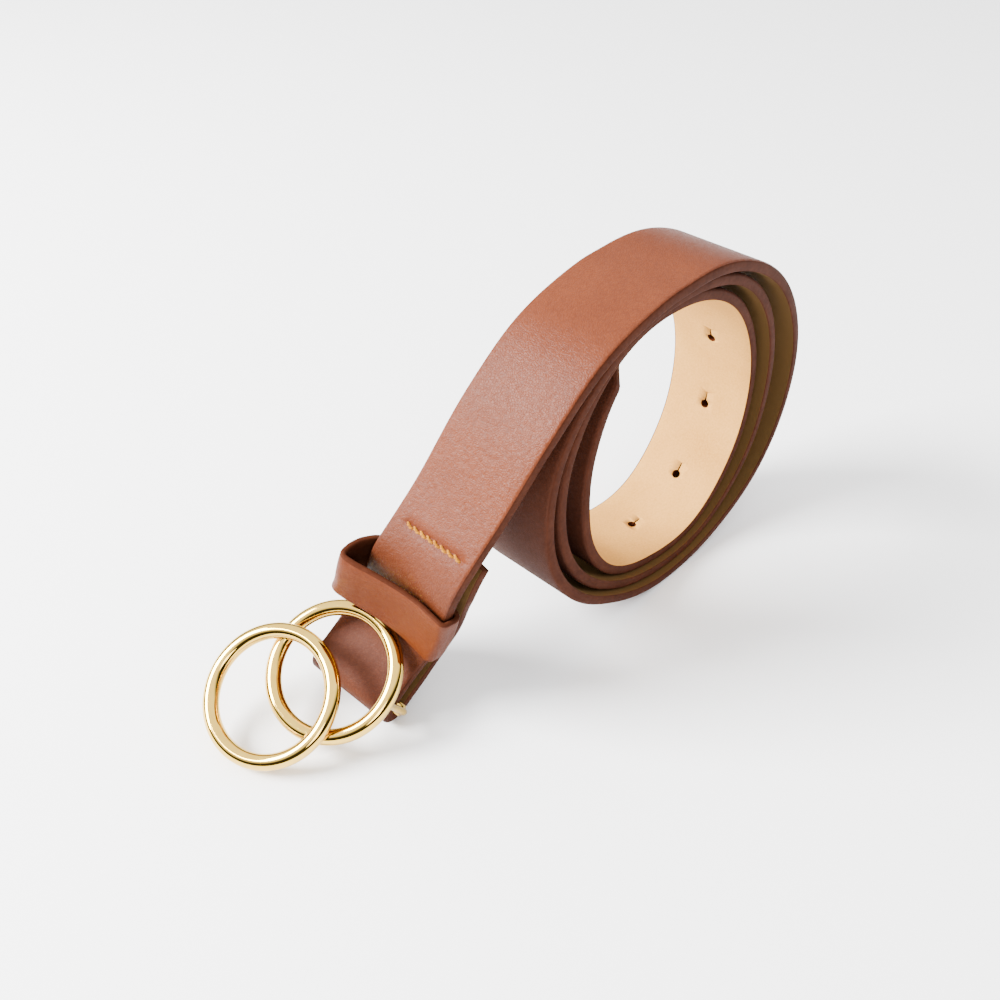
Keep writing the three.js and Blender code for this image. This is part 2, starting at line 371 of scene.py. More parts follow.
class StrapLine:
    """The line that the strap follows on its grain side, the same as in the frame."""

    STEP = 1.5
    SPAN_SAMPLES = 12
    FOLD_SAMPLES = 16
    POINT_ROUNDS = 3
    TWIST_ROUNDS = 8
    TURN_ROUNDS = 4

    def __init__(self, strap: StrapSize, coil: CoilSize, tail: TailSize, fold: FoldSize) -> None:
        self.strap, self.coil, self.tail, self.fold = strap, coil, tail, fold
        self.shares = np.array(coil.first + coil.second + coil.third)
        points, twists = self._knots()
        low, high = (np.array(v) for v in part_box("strap"))
        self.origin = np.array([high[0] / MM - points[:, 0].max(), low[1] / MM, 0.0])
        self.main = self._frames(points + self.origin, twists)
        run = run_along(points)[len(tail.rows):]
        self.third_lap = float(np.interp(2 * LAP, np.arange(len(run)) * coil.step, run))
        self.run = float(self.main.s[-1])
        self.fold_radius = fold.bar_radius + fold.bar_play + strap.thick

    def _radius(self, turn: float) -> float:
        """Radius of the grain side at so many degrees from the top of the first lap."""
        k = turn / 30.0
        i = min(int(k), len(self.shares) - 2)
        t = k - i
        a, b, c, d = (self.shares[min(max(j, 0), len(self.shares) - 1)] for j in (i - 1, i, i + 1, i + 2))
        share = b + 0.5 * t * (c - a + t * (2 * a - 5 * b + 4 * c - d + t * (3 * (b - c) + d - a)))
        return share * self.coil.radius

    def _knots(self) -> tuple[Array, Array]:
        """Points of the line before it is placed, with the twist in degrees at each."""
        tail, half = self.tail, self.strap.width / 2
        points = [(-out * tail.reach, half + side * tail.swing, up * tail.rise)
                  for out, side, up, _ in tail.rows]
        twists = [row[3] * tail.fold_twist for row in tail.rows]
        steps = int((2 * LAP + self.coil.tip_angle) / self.coil.step + 1e-6)
        for turn in np.arange(steps + 1) * self.coil.step:
            a, r = math.radians(turn), self._radius(turn)
            z = max(self.coil.axis_height + r * math.cos(a), 0.0)
            points.append((r * math.sin(a), half + self.coil.drift * turn / LAP, z))
            twists.append(0.0)
        return np.array(points), np.array(twists)

    def _frames(self, knots: Array, twists: Array) -> Frames:
        """Even frames along a smooth curve through the knots."""
        ends = np.vstack([2 * knots[0] - knots[1], knots, 2 * knots[-1] - knots[-2]])
        u = np.linspace(0, 1, self.SPAN_SAMPLES, endpoint=False)
        spans = range(len(knots) - 1)
        fine = np.vstack([curve_span(ends[i:i + 4], u) for i in spans] + [knots[-1:]])
        turn = np.concatenate([u + i for i in spans] + [[len(knots) - 1.0]])
        twist = np.interp(turn, np.arange(len(knots)), twists)
        s = run_along(fine)
        grid = np.linspace(0, s[-1], int(s[-1] / self.STEP) + 1)
        p = np.column_stack([np.interp(grid, s, fine[:, k]) for k in range(3)])
        p = self._relax(p, self.POINT_ROUNDS)
        twist = self._relax(np.interp(grid, s, twist)[:, None], self.TWIST_ROUNDS)[:, 0]
        t = unit(self._relax(np.gradient(p, axis=0), self.TURN_ROUNDS))
        b = unit(Y_AXIS - t[:, 1:2] * t)
        a = np.radians(twist)[:, None]
        b = b * np.cos(a) + np.cross(t, b) * np.sin(a)
        return Frames(p, t, b, np.cross(t, b), grid)

    @staticmethod
    def _relax(values: Array, rounds: int) -> Array:
        """Even out neighbours and keep both ends."""
        for _ in range(rounds):
            middle = (values[:-2] + 2 * values[1:-1] + values[2:]) / 4
            values = np.vstack([values[:1], middle, values[-1:]])
        return values

    def bar(self) -> Vectors:
        """Bar centre with the along, across and outward vectors of the fold.

        Returns:
            Four vectors.
        """
        m = self.main
        return m.p[0] - m.n[0] * self.fold_radius, m.t[0], m.b[0], m.n[0]

    def whole(self, keeper_end: float) -> Frames:
        """Frames from the flap's end round the fold to the free end.

        Args:
            keeper_end: Where the flap starts to close up on the strap.

        Returns:
            Frames, below zero in the flap and the fold.
        """
        m, f = self.main, self.fold
        centre, t0, b0, n0 = self.bar()
        keep = m.s <= f.flap
        gap = 2 * (f.bar_radius + f.bar_play)
        k = np.clip((m.s[keep] - keeper_end) / (f.flap - keeper_end), 0.0, 1.0)[:, None]
        ease = k * k * (3.0 - 2.0 * k)
        depth = 2 * self.strap.thick + gap + (f.flap_end_gap - gap) * ease
        flap = [v[::-1] for v in (m.p[keep] - m.n[keep] * depth, -m.t[keep], m.b[keep], -m.n[keep])]
        a = np.linspace(math.pi, 0, self.FOLD_SAMPLES)[1:-1, None]
        n = n0 * np.cos(a) - t0 * np.sin(a)
        t = t0 * np.cos(a) + n0 * np.sin(a)
        bend = [centre + n * self.fold_radius, t, np.repeat(b0[None], len(a), 0), n]
        parts = [np.vstack([x, y, z]) for x, y, z in zip(flap, bend, (m.p, m.t, m.b, m.n))]
        s = run_along(parts[0])
        return Frames(*parts, s - s[len(flap[0]) + len(a)])


# Mesh helpers

def put_in_scene(name: str, data: bpy.types.ID) -> bpy.types.Object:
    """Make an object and link it to the scene.

    Args:
        name: Object name.
        data: Its mesh, light or camera.

    Returns:
        The object.
    """
    made = bpy.data.objects.new(name, data)
    bpy.context.scene.collection.objects.link(made)
    return made


def new_object(name: str, points: Array, faces: Faces, slots: Array | None = None,
               uvs: Array | None = None) -> bpy.types.Object:
    """Make a smooth mesh object.

    Args:
        name: Object name.
        points: Corner points in millimetres.
        faces: Corner numbers of each face.
        slots: Material number of each face.
        uvs: A pair per corner point, written to the UV map.

    Returns:
        The new object, linked to the scene.
    """
    mesh = bpy.data.meshes.new(name)
    mesh.from_pydata((points * MM).tolist(), [], faces)
    mesh.polygons.foreach_set("use_smooth", [True] * len(faces))
    if slots is not None:
        mesh.polygons.foreach_set("material_index", slots.astype(np.int32))
    if uvs is not None:
        layer = mesh.uv_layers.new(name="strip")
        corner = np.empty(len(mesh.loops), dtype=np.int32)
        mesh.loops.foreach_get("vertex_index", corner)
        layer.data.foreach_set("uv", uvs[corner].astype(np.float32).ravel())
    mesh.validate()
    mesh.update()
    return put_in_scene(name, mesh)


def grid_faces(rows: int, cols: int, wrap_rows: bool = False) -> Faces:
    """Quads between rows of a closed section.

    Args:
        rows: Number of rows.
        cols: Points in each row, which closes on itself.
        wrap_rows: Whether the last row joins the first.

    Returns:
        Faces with outward order for sections that run clockwise along the sweep.
    """
    faces = []
    for i in range(rows if wrap_rows else rows - 1):
        here, there = i * cols, (i + 1) % rows * cols
        for k in range(cols):
            m = (k + 1) % cols
            faces.append((here + k, here + m, there + m, there + k))
    return faces


def join(parts: list[tuple[Array, Faces]]) -> tuple[Array, Faces]:
    """Put the points and faces of several meshes together.

    Args:
        parts: Points and faces of each mesh.

    Returns:
        All points and faces.
    """
    faces, base = [], 0
    for points, own in parts:
        faces += [tuple(base + v for v in face) for face in own]
        base += len(points)
    return np.vstack([points for points, _ in parts]), faces


def tube(path: Array, radius: Array | float, sides: int, closed: bool,
         guide: Array) -> tuple[Array, Faces]:
    """Round tube along a path.

    Args:
        path: Centre points.
        radius: One radius or one per point.
        sides: Sides of the section.
        closed: Whether the path closes on itself.
        guide: Direction that the section's first corner leans to.

    Returns:
        Points and faces.
    """
    t = unit(np.roll(path, -1, 0) - np.roll(path, 1, 0) if closed else np.gradient(path, axis=0))
    u = unit(guide - (t @ guide)[:, None] * t)
    w = np.cross(t, u)
    a = 2 * math.pi * np.arange(sides) / sides
    r = np.broadcast_to(np.asarray(radius, dtype=float), (len(path),))[:, None, None]
    rim = u[:, None] * np.cos(a)[None, :, None] + w[:, None] * np.sin(a)[None, :, None]
    faces = grid_faces(len(path), sides, closed)
    if not closed:
        faces += [tuple(range(sides))[::-1], tuple(range((len(path) - 1) * sides, len(path) * sides))]
    return (path[:, None] + r * rim).reshape(-1, 3), faces


# Shader helpers

class Nodes:
    """Short way to add and join shader nodes."""

    def __init__(self, tree: bpy.types.NodeTree) -> None:
        self.tree = tree

    def feed(self, socket: Socket, value: object) -> None:
        """Join an input to an output, or set it to a constant.

        Args:
            socket: The input.
            value: The output or the constant.
        """
        if isinstance(value, Socket):
            self.tree.links.new(value, socket)
        else:
            socket.default_value = value

    def add(self, kind: str, **inputs: object) -> bpy.types.Node:
        """Add a node.

        Args:
            kind: Node type.
            inputs: Properties by name, or values and links by socket name with _ for a space, or by
                i and the socket's number.

        Returns:
            The node.
        """
        node = self.tree.nodes.new(kind)
        for key, value in inputs.items():
            if hasattr(node, key):
                setattr(node, key, value)
            elif key[0] == "i" and key[1:].isdigit():
                self.feed(node.inputs[int(key[1:])], value)
            else:
                self.feed(node.inputs[key.replace("_", " ")], value)
        return node

    def noise(self, at: Socket, scale: object, detail: float = 3.0, rough: float = 0.5) -> Socket:
        """Noise value.

        Args:
            at: Coordinates.
            scale: Noise scale.
            detail: Octaves.
            rough: How strong the small octaves are.

        Returns:
            The value socket.
        """
        node = self.add("ShaderNodeTexNoise", Vector=at, Scale=scale, Detail=detail, Roughness=rough)
        return node.outputs["Fac"]

    def ramp(self, value: Socket, low: float, high: float) -> Socket:
        """Stretch a value so that low becomes 0 and high becomes 1.

        Args:
            value: Value to stretch.
            low: Becomes 0.
            high: Becomes 1.

        Returns:
            The stretched value.
        """
        node = self.add("ShaderNodeMapRange", Value=value, From_Min=low, From_Max=high)
        return node.outputs["Result"]

    def math(self, operation: str, a: object, b: object = 0.0) -> Socket:
        """Arithmetic on two values.

        Args:
            operation: Operation name.
            a: First value or socket.
            b: Second value or socket.

        Returns:
            The result socket.
        """
        return self.add("ShaderNodeMath", operation=operation, i0=a, i1=b).outputs[0]

    def mix(self, fac: object, a: object, b: object) -> Socket:
        """Mix two colours.

        Args:
            fac: Share of the second colour.
            a: First colour or socket.
            b: Second colour or socket.

        Returns:
            The colour socket.
        """
        node = self.add("ShaderNodeMix", data_type="RGBA", i0=fac)
        for index, value in ((6, a), (7, b)):
            self.feed(node.inputs[index], (*value, 1.0) if isinstance(value, tuple) else value)
        return node.outputs[2]


class Effect(Enum):
    """Shader groups that materials share."""

    GRAIN = "leather_grain"
    MOTTLE = "colour_mottle"
    HALO = "stitch_halo"


@dataclass(frozen=True)
class GrainPattern:
    """Scales of the leather's noises, and how much each adds to its surface."""

    warp_scale: float = 500.0
    warp: float = 0.0009
    crease_width: float = 0.22
    crease: float = 0.5
    fine_scale: float = 2600.0
    fine: float = 0.6
    wrinkle_scale: float = 90.0
    depth: float = 0.00025


class EffectLibrary:
    """Makes the shared shader groups once."""

    NOISE_SPAN = (0.3, 0.7)

    def __init__(self) -> None:
        self.groups = {
            Effect.GRAIN: self._grain(GrainPattern()),
            Effect.MOTTLE: self._mottle(),
            Effect.HALO: self._halo(),
        }

    @staticmethod
    def _frame(effect: Effect, floats: dict[str, float],
               outputs: dict[str, str]) -> tuple[Nodes, dict[str, Socket], dict[str, Socket]]:
        """Start a group: its nodes, the sockets it is given and those it fills."""
        tree = bpy.data.node_groups.new(effect.value, "ShaderNodeTree")
        tree.interface.new_socket("Vector", in_out="INPUT", socket_type="NodeSocketVector")
        for name, value in floats.items():
            socket = tree.interface.new_socket(name, in_out="INPUT", socket_type="NodeSocketFloat")
            socket.default_value = value
        for name, kind in outputs.items():
            tree.interface.new_socket(name, in_out="OUTPUT", socket_type=kind)
        source, sink = tree.nodes.new("NodeGroupInput"), tree.nodes.new("NodeGroupOutput")
        return Nodes(tree), {s.name: s for s in source.outputs}, {s.name: s for s in sink.inputs}

    def _grain(self, g: GrainPattern) -> bpy.types.NodeTree:
        """Pebbled grain: cells with creases between them, pores and faint wrinkles."""
        nodes, given, wanted = self._frame(
            Effect.GRAIN, {"Cell Scale": 1400.0, "Wrinkle": 0.4, "Strength": 0.3},
            {"Normal": "NodeSocketVector", "Crease": "NodeSocketFloat"})
        at = given["Vector"]
        warp = nodes.add("ShaderNodeTexNoise", Vector=at, Scale=g.warp_scale, Detail=2.0)
        bent = nodes.add("ShaderNodeVectorMath", operation="MULTIPLY_ADD", i0=warp.outputs["Color"],
                         i1=(g.warp,) * 3, i2=at)
        cell = nodes.add("ShaderNodeTexVoronoi", feature="DISTANCE_TO_EDGE", Vector=bent.outputs[0],
                         Scale=given["Cell Scale"], Randomness=1.0)
        crease = nodes.ramp(cell.outputs["Distance"], 0.0, g.crease_width)
        fine = nodes.math("MULTIPLY", nodes.noise(at, g.fine_scale, 4.0, 0.62), g.fine)
        wrinkle = nodes.ramp(nodes.noise(at, g.wrinkle_scale, 5.0, 0.6), *self.NOISE_SPAN)
        height = nodes.math("ADD", nodes.math("MULTIPLY", crease, g.crease), fine)
        height = nodes.math("ADD", height, nodes.math("MULTIPLY", wrinkle, given["Wrinkle"]))
        bump = nodes.add("ShaderNodeBump", Distance=g.depth, Strength=given["Strength"], Height=height)
        nodes.feed(wanted["Normal"], bump.outputs["Normal"])
        nodes.feed(wanted["Crease"], crease)
        return nodes.tree

    def _halo(self) -> bpy.types.NodeTree:
        """Mask round a straight row of stitches on the strap's own map, 1 on the row."""
        nodes, given, wanted = self._frame(
            Effect.HALO, {"At": 0.06, "Slope": -0.16, "Middle": 0.0, "Half": 0.01, "Spread": 0.0016},
            {"Mask": "NodeSocketFloat"})
        split = nodes.add("ShaderNodeSeparateXYZ", Vector=given["Vector"]).outputs
        row = nodes.math("ADD", given["At"], nodes.math("MULTIPLY", split["Y"], given["Slope"]))
        off = nodes.math("ABSOLUTE", nodes.math("SUBTRACT", split["X"], row))
        side = nodes.math("ABSOLUTE", nodes.math("SUBTRACT", split["Y"], given["Middle"]))
        past = nodes.math("MAXIMUM", nodes.math("SUBTRACT", side, given["Half"]), 0.0)
        far = nodes.math("DIVIDE", nodes.math("ADD", off, past), given["Spread"])
        square = nodes.math("MULTIPLY", far, far)
        nodes.feed(wanted["Mask"], nodes.math("EXPONENT", nodes.math("MULTIPLY", square, -1.0)))
        return nodes.tree

    def _mottle(self) -> bpy.types.NodeTree:
        """Slow and fast colour drift, from 0 to 1."""
        nodes, given, wanted = self._frame(
            Effect.MOTTLE, {"Slow Scale": 30.0, "Fast Scale": 400.0, "Fast Share": 0.4},
            {"Mask": "NodeSocketFloat"})
        slow = nodes.ramp(nodes.noise(given["Vector"], given["Slow Scale"], 3.0), *self.NOISE_SPAN)
        fast = nodes.ramp(nodes.noise(given["Vector"], given["Fast Scale"], 4.0), *self.NOISE_SPAN)
        mix = nodes.add("ShaderNodeMix", data_type="FLOAT", i0=given["Fast Share"], i2=slow, i3=fast)
        nodes.feed(wanted["Mask"], mix.outputs[0])
        return nodes.tree


@dataclass(frozen=True)
class ShadeAndCreaseSize:
    """Where the strap has painted shade, is duller or is creased, in distances along it."""

    # nose: stretch over which the painted shade towards the fold fades out
    nose: Pair = (38.0, 60.0)
    nose_shade: float = 0.58
    nose_matt: float = 0.15
    # belly: stretch over which painted shade fades in, from the first lap's belly on to the free end
    belly: Pair = (340.0, 400.0)
    belly_shade: float = 0.45
    belly_matt: float = 0.35
    crinkle_on: Pair = (30.0, 45.0)
    crinkle_off: Pair = (75.0, 125.0)
    crinkle: float = 0.42
    crinkle_rest: float = 0.3
    crinkle_scale: float = 700.0
    bump: float = 0.9
    bump_depth: float = 0.6
    # halo: spread of the mask round the stitches, painted shade in the colour and a real sunk bump
    halo: float = 1.8
    halo_shade_tint: Triple = (0.66, 0.5, 0.3)
    halo_shade_share: float = 0.75
    # stretch over which the lining's painted shade fades out before the third lap
    lining_shade_fade: float = 30.0


class MaterialShop:
    """Makes every material of the belt."""

    LEATHER_DRIFT = (0.06, -0.04)
    PLAIN_DRIFT = (0.03, -0.02)
    # share and colour of the painted shade in the grain's creases
    CREASE_SHARE = 0.28
    CREASE_SHADE = 0.55
    PLAIN_DEPTH = 0.0002

    def __init__(self, finishes: Finishes, shade_and_crease: ShadeAndCreaseSize) -> None:
        self.finishes, self.shade_and_crease = finishes, shade_and_crease
        self.groups = EffectLibrary().groups
        self.made: dict[str, Material] = {}

    @staticmethod
    def _open(material: Material) -> tuple[Nodes, bpy.types.Node, Socket]:
        """Nodes of a material, its shader and its object coordinates."""
        nodes = Nodes(material.node_tree)
        at = nodes.add("ShaderNodeTexCoord").outputs["Object"]
        return nodes, material.node_tree.nodes["Principled BSDF"], at

    def _group(self, nodes: Nodes, effect: Effect, **inputs: object) -> bpy.types.NodeOutputs:
        """Outputs of a shared group, added with its inputs by name."""
        return nodes.add("ShaderNodeGroup", node_tree=self.groups[effect], **inputs).outputs

    @staticmethod
    def _strip(nodes: Nodes) -> tuple[Socket, Socket]:
        """The strap's own map, and the distance along the strap in metres."""
        flat = nodes.add("ShaderNodeUVMap", uv_map="strip").outputs["UV"]
        return flat, nodes.add("ShaderNodeSeparateXYZ", Vector=flat).outputs["X"]

    @staticmethod
    def _over(nodes: Nodes, along: Socket, start: float, end: float) -> Socket:
        """Rise from 0 to 1 over a stretch of the strap in millimetres."""
        return nodes.ramp(along, start * MM, end * MM)

    def _start(self, finish: Finish, drift: Pair,
               **mottle: float) -> tuple[Material, Nodes, bpy.types.Node, Socket, Socket]:
        """New material with its nodes, shader, coordinates and drifting colour."""
        material = bpy.data.materials.new(finish.name)
        material.use_nodes = True
        nodes, shader, at = self._open(material)
        mask = self._group(nodes, Effect.MOTTLE, Vector=at, **mottle)["Mask"]
        low, high = (finish.roughness + d for d in drift)
        rough = nodes.add("ShaderNodeMapRange", Value=mask, To_Min=low, To_Max=high)
        nodes.feed(shader.inputs["Roughness"], rough.outputs["Result"])
        shader.inputs["Specular IOR Level"].default_value = finish.gloss
        self.made[finish.name] = material
        return material, nodes, shader, at, nodes.mix(mask, finish.dark, finish.light)

    def shaded_leather(self, finish: LeatherFinish, stitches: StitchSize, width: float) -> Material:
        """Strap leather: painted shade at the nose and the belly, and a sunk halo round the stitches with
        painted shade in its colour.

        Args:
            finish: Its colours and grain.
            stitches: The row of stitches.
            width: Width of the strap.

        Returns:
            The material.
        """
        z = self.shade_and_crease
        material = self.leather(finish)
        nodes, shader, at = self._open(material)
        before = {name: shader.inputs[name].links[0].from_socket
                  for name in ("Base Color", "Roughness", "Normal")}
        strip, along = self._strip(nodes)
        nose = nodes.math("SUBTRACT", 1.0, self._over(nodes, along, *z.nose))
        belly = self._over(nodes, along, *z.belly)
        halo = self._group(
            nodes, Effect.HALO, Vector=strip, At=(stitches.at + stitches.skew / 2) * MM,
            Slope=stitches.skew / width, Middle=(stitches.first + stitches.last) / 2 * width * MM,
            Half=(stitches.last - stitches.first) / 2 * width * MM, Spread=z.halo * MM)["Mask"]

        # painted shade: darker towards the fold at the nose
        tone = nodes.math("SUBTRACT", 1.0, nodes.math("MULTIPLY", nose, 1.0 - z.nose_shade))
        # painted shade: darker from the first lap's belly, which faces the floor, on to the free end
        tone = nodes.math("SUBTRACT", tone, nodes.math("MULTIPLY", belly, 1.0 - z.belly_shade))
        scaled = nodes.add("ShaderNodeVectorMath", operation="SCALE", i0=before["Base Color"], Scale=tone)
        # painted shade round the stitch row: a darker orange where the halo mask is high
        ring = tuple(c * k for c, k in zip(finish.light, z.halo_shade_tint))
        colour = nodes.mix(nodes.math("MULTIPLY", halo, z.halo_shade_share), scaled.outputs[0], ring)
        nodes.feed(shader.inputs["Base Color"], colour)

        rough = nodes.math("ADD", before["Roughness"], nodes.math("MULTIPLY", belly, z.belly_matt))
        rough = nodes.math("ADD", rough, nodes.math("MULTIPLY", nose, z.nose_matt))
        nodes.feed(shader.inputs["Roughness"], rough)

        ahead = nodes.math("SUBTRACT", 1.0, self._over(nodes, along, *z.crinkle_off))
        bent = nodes.math("MULTIPLY", self._over(nodes, along, *z.crinkle_on), ahead)
        crinkle = nodes.math("MULTIPLY", nodes.noise(at, z.crinkle_scale, 3.0, 0.55),
                             nodes.math("ADD", bent, z.crinkle_rest))
        height = nodes.math("SUBTRACT", nodes.math("MULTIPLY", crinkle, z.crinkle), halo)
        bump = nodes.add("ShaderNodeBump", Strength=z.bump, Distance=z.bump_depth * MM, Height=height,
                         Normal=before["Normal"])
        nodes.feed(shader.inputs["Normal"], bump.outputs["Normal"])
        return material

    def leather(self, finish: LeatherFinish) -> Material:
        """Grain leather with pebbles, pores, wrinkles, drifting colour and painted shade in the grain's
        creases.

        Args:
            finish: Its colours and grain.

        Returns:
            The material.
        """
        material, nodes, shader, at, colour = self._start(
            finish, self.LEATHER_DRIFT, Slow_Scale=26.0, Fast_Scale=900.0, Fast_Share=0.45)
        grain = self._group(nodes, Effect.GRAIN, Vector=at, Cell_Scale=1.0 / (finish.pore_mm * MM),
                            Wrinkle=0.55, Strength=finish.bump)
        crease = nodes.math("SUBTRACT", 1.0, grain["Crease"])
        # painted shade: darker colour in the grain's creases
        crease_shade = tuple(self.CREASE_SHADE * c for c in finish.dark)
        colour = nodes.mix(nodes.math("MULTIPLY", crease, self.CREASE_SHARE), colour, crease_shade)
        nodes.feed(shader.inputs["Base Color"], colour)
        nodes.feed(shader.inputs["Normal"], grain["Normal"])
        return material

    def lining(self, unshaded_from: float) -> Material:
        """Tan lining with painted shade where the coil keeps it from the light.

        Args:
            unshaded_from: Distance along the strap in millimetres from which the lining has no painted
                shade.

        Returns:
            The material.
        """
        material = self.plain(self.finishes.lining)
        nodes, shader, _ = self._open(material)
        _, along = self._strip(nodes)
        # painted shade on the lining before the third lap, fading out over the last stretch
        unshaded = self._over(nodes, along, unshaded_from - self.shade_and_crease.lining_shade_fade, unshaded_from)
        plain = shader.inputs["Base Color"].links[0].from_socket
        nodes.feed(shader.inputs["Base Color"], nodes.mix(unshaded, self.finishes.lining_shade, plain))
        return material

    def plain(self, finish: PlainFinish) -> Material:
        """Material with drifting colour and a fine surface, made once.

        Args:
            finish: Its colours, drift and surface.

        Returns:
            The material.
        """
        if finish.name in self.made:
            return self.made[finish.name]
        material, nodes, shader, at, colour = self._start(
            finish, self.PLAIN_DRIFT, Slow_Scale=finish.slow, Fast_Scale=finish.fast, Fast_Share=0.5)
        nodes.feed(shader.inputs["Base Color"], colour)
        shader.inputs["Metallic"].default_value = finish.metallic
        if finish.bump > 0:
            node = nodes.add("ShaderNodeBump", Strength=finish.bump, Distance=self.PLAIN_DEPTH,
                             Height=nodes.noise(at, finish.bump_scale, 5.0, 0.6))
            nodes.feed(shader.inputs["Normal"], node.outputs["Normal"])
        return material


# Pieces

class Piece:
    """What every piece of the belt starts from."""

    def __init__(self, line: StrapLine, size: object) -> None:
        self.line, self.size = line, size
        self.piece: bpy.types.Object | None = None

    def _make(self, name: str, points: Array, faces: Faces, *data: Array) -> None:
        """Make the object from closed meshes and turn all their faces outwards."""
        self.piece = new_object(name, points.reshape(-1, 3), faces, *data)
        bm = bmesh.new()
        bm.from_mesh(self.piece.data)
        bmesh.ops.recalc_face_normals(bm, faces=bm.faces)
        bm.to_mesh(self.piece.data)
        bm.free()

    def dress(self, shop: MaterialShop) -> None:
        """Give the piece its finishes, body and slot.

        Args:
            shop: Where materials come from.
        """
        raise NotImplementedError


class Strap(Piece):
    """The strap with its fold, flap, free end and punched holes."""

    def __init__(self, line: StrapLine, size: StrapSize, holes: HoleSize, keeper: KeeperSize,
                 stitches: StitchSize) -> None:
        super().__init__(line, size)
        self.holes, self.stitches = holes, stitches
        self.frames = line.whole(keeper.start + keeper.width)

    def _section(self) -> tuple[Array, list[Side]]:
        """Corners of the section as (share of half width, inset, depth), with the side each starts."""
        z = self.size
        r, q = z.grain_round, z.lining_round
        top = [(k, -k * r, 0.0, Side.GRAIN) for k in np.linspace(-1, 1, 13)]
        edge = []
        for a, side in ((25, Side.GRAIN), (50, Side.GRAIN), (75, Side.EDGE), (90, Side.EDGE)):
            c, s = math.cos(math.radians(a)), math.sin(math.radians(a))
            edge.append((1, r * (s - 1), r * (1 - c), side))
        edge.append((1, z.edge_bulge, z.thick * z.edge_middle, Side.EDGE))
        for a in (0, 35, 65):
            c, s = math.cos(math.radians(a)), math.sin(math.radians(a))
            edge.append((1, q * (c - 1), z.thick - q * (1 - s), Side.EDGE))
        edge.append((1, -q, z.thick, Side.LINING))
        under = [(k, -k * q, z.thick, Side.LINING) for k in np.linspace(1, -1, 9)[1:-1]]
        sides = [Side.LINING] + [Side.EDGE] * 6 + [Side.GRAIN] * 2
        back = [(-k, -i, d, side) for (k, i, d, _), side in zip(edge[::-1], sides)]
        rows = top + edge + under + back
        return np.array([row[:3] for row in rows]), [row[3] for row in rows]

    def build(self) -> None:
        """Make the strap's mesh."""
        f, z = self.frames, self.size
        section, sides = self._section()
        share = z.tip_share + (1 - z.tip_share) * np.clip((self.line.run - f.s) / z.tip_taper, 0, 1)
        half = z.width / 2 * share
        across = section[None, :, 0] * half[:, None] + section[None, :, 1]
        sunk = f.n[:, None] * section[None, :, 2, None]
        points = f.p[:, None] + f.b[:, None] * across[..., None] - sunk
        rows, cols = across.shape
        faces = grid_faces(rows, cols)
        faces += [tuple(range(cols)), tuple(range((rows - 1) * cols, rows * cols))[::-1]]
        slots = np.array([side.value for side in sides] * (rows - 1) + [Side.EDGE.value] * 2)
        uvs = np.stack([np.broadcast_to(f.s[:, None], across.shape), across], -1) * MM
        self._make("strap_skin", points, faces, slots, uvs.reshape(-1, 2))

    def _plug(self, bm: bmesh.types.BMesh, outline: list[Pair], frame: Vectors) -> None:
        """Add a prism through the strap to the cutter."""
        p, t, b, n = frame
        over = self.holes.cut_over
        top, low = ([bm.verts.new(Vector(p + t * u + b * v + n * depth) * MM) for u, v in outline]
                    for depth in (over, -self.size.thick - over))
        for j in range(len(outline)):
            m = (j + 1) % len(outline)
            bm.faces.new((top[j], top[m], low[m], low[j]))
        bm.faces.new(top[::-1])
        bm.faces.new(low)

    def punch(self) -> None:
        """Cut the holes and slits."""
        h = self.holes
        turn = np.linspace(0, 2 * math.pi, h.sides + 1)[:-1]
        ring = [(h.diameter / 2 * math.cos(a), h.diameter / 2 * math.sin(a)) for a in turn]
        start, w = h.diameter * h.slit_start, h.slit_width / 2
        slit = [(-h.slit, -w * h.slit_taper), (-start, -w), (-start, w), (-h.slit, w * h.slit_taper)]
        bm = bmesh.new()
        for i in range(h.count):
            frame = self.line.main.at(self.line.run - h.from_tip - i * h.pitch)
            for outline in (ring, slit):
                self._plug(bm, outline, frame)
        bmesh.ops.recalc_face_normals(bm, faces=bm.faces)
        mesh = bpy.data.meshes.new("cutter")
        bm.to_mesh(mesh)
        bm.free()
        for _ in Side:
            mesh.materials.append(None)
        mesh.polygons.foreach_set("material_index", [Side.HOLE.value] * len(mesh.polygons))
        cutter = put_in_scene("cutter", mesh)
        cut = self.piece.modifiers.new("holes", "BOOLEAN")
        cut.object, cut.operation, cut.solver = cutter, "DIFFERENCE", "EXACT"
        cut.material_mode = "INDEX"
        cut.use_self = True
        graph = bpy.context.evaluated_depsgraph_get()
        done = bpy.data.meshes.new_from_object(self.piece.evaluated_get(graph))
        self.piece.modifiers.clear()
        self.piece.data = done
        bpy.data.objects.remove(cutter)

    def dress(self, shop: MaterialShop) -> None:
        """Give each side its finish."""
        f = shop.finishes
        mesh = self.piece.data
        index = [p.material_index for p in mesh.polygons]
        mesh.materials.clear()
        grain = shop.shaded_leather(f.grain, self.stitches, self.size.width)
        lining = shop.lining(self.line.third_lap)
        for material in (grain, shop.plain(f.edge), lining, shop.plain(f.hole)):
            mesh.materials.append(material)
        mesh.polygons.foreach_set("material_index", index)
        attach(self.piece, Body.STRAP.value)
        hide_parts("strap", "strap_lining")


